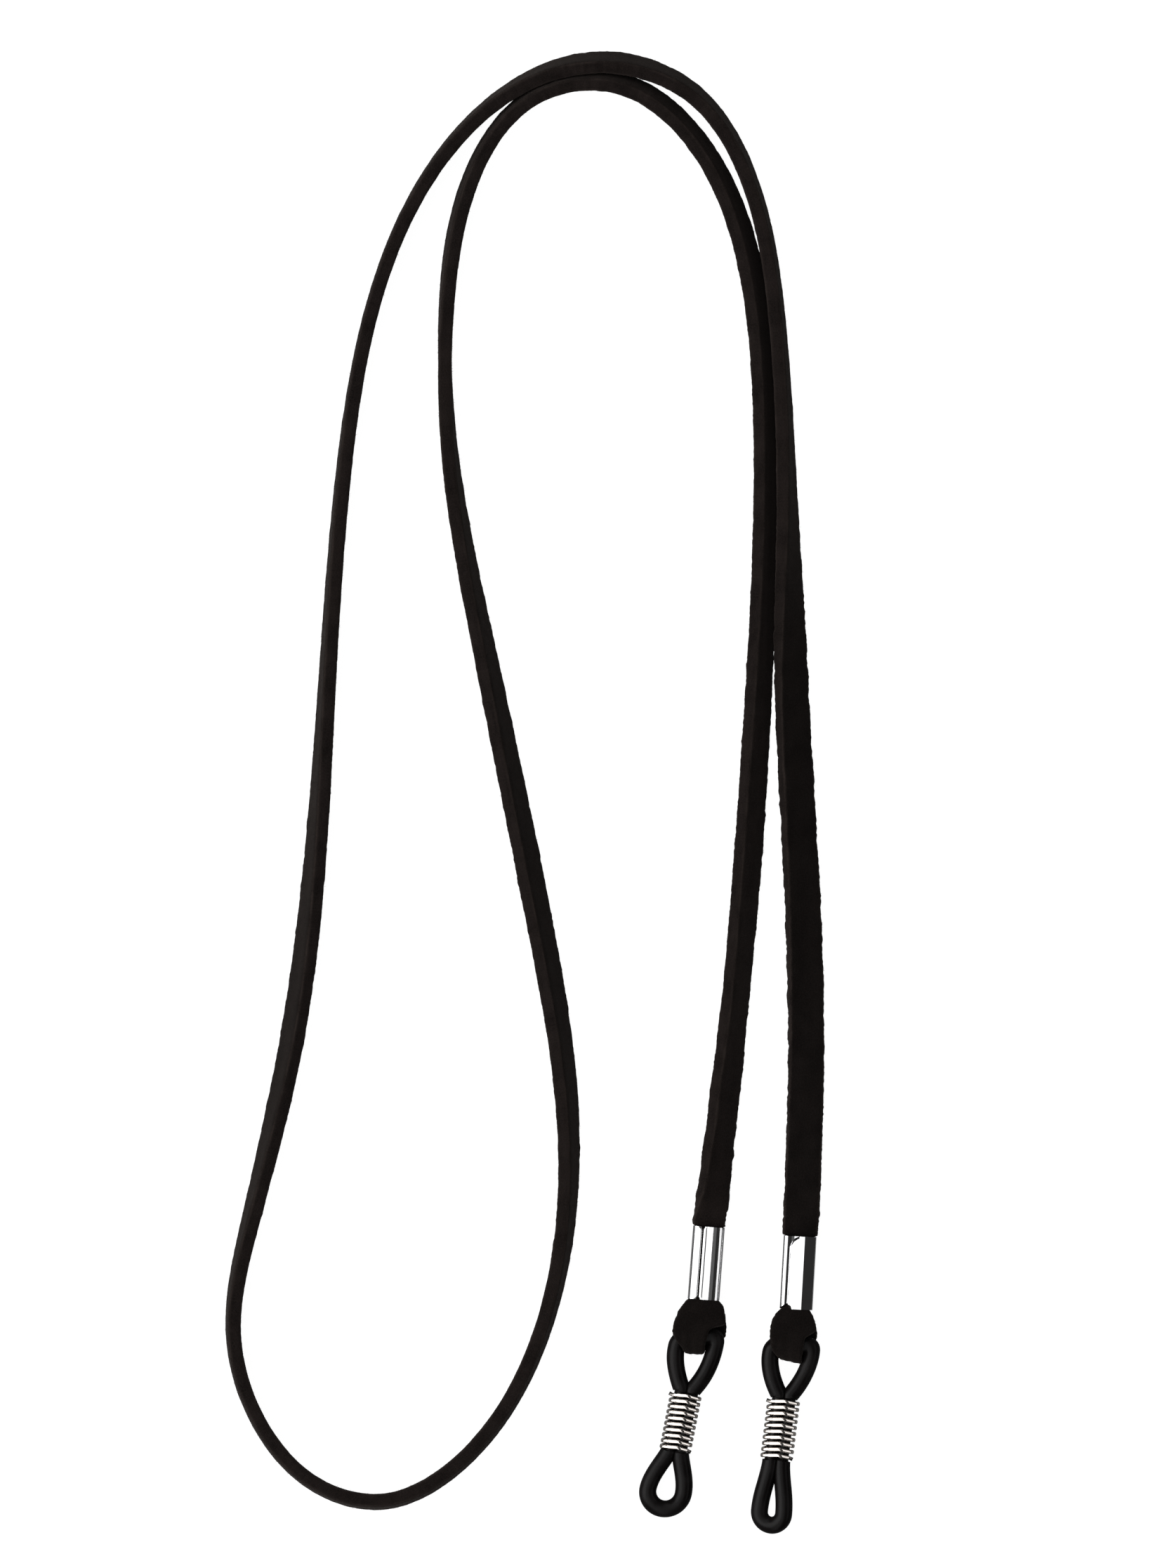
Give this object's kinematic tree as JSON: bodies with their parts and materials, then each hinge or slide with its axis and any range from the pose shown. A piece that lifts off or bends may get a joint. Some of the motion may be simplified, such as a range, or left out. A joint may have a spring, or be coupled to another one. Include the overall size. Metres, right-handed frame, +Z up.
{
  "type": "eyeglass retainer strap",
  "caption": "Flat suede cord whose crimped ends carry rubber loops that slip over the temples of a pair of glasses and are tightened by sliding wire coils.",
  "frame": {"origin": "on the table, under the middle of the box round the two metal and rubber ends", "axes": "+X to the right of the picture, +Y from the rubber loops towards the far bend of the lace, +Z up from the table"},
  "size_m": [0.068, 0.169, 0.0041],
  "materials": {
    "suede": "napped suede",
    "crimp_metal": "bright plated sheet",
    "rubber": "satin",
    "coil_wire": "bright nickel wire"
  },
  "bodies": {
    "strap": {"strap": "suede", "left_strap_fold": "suede", "right_strap_fold": "suede", "left_crimp": "crimp_metal", "right_crimp": "crimp_metal"},
    "left_loop": {"left_rubber_loop": "rubber"},
    "right_loop": {"right_rubber_loop": "rubber"},
    "left_coil": {"left_coil": "coil_wire"},
    "right_coil": {"right_coil": "coil_wire"}
  },
  "joints": [
    {"name": "left_loop_swing", "type": "hinge", "parent": "strap", "child": "left_loop", "pos_m": [-0.00378, 0.0051, 0.002], "axis": [-0.9816, 0.1908, 0], "range_deg": [-85, 85]},
    {"name": "left_coil_slide", "type": "slide", "parent": "left_loop", "child": "left_coil", "axis": [-0.1906, -0.9805, -0.048], "range_m": [-0.0015, 0.003], "deforming": ["left_rubber_loop"]},
    {"name": "right_loop_swing", "type": "hinge", "parent": "strap", "child": "right_loop", "pos_m": [0.00705, 0.00394, 0.002], "axis": [-0.9925, 0.1219, 0], "range_deg": [-85, 85]},
    {"name": "right_coil_slide", "type": "slide", "parent": "right_loop", "child": "right_coil", "axis": [-0.1218, -0.9921, -0.0313], "range_m": [-0.0015, 0.003], "deforming": ["right_rubber_loop"]}
  ]
}
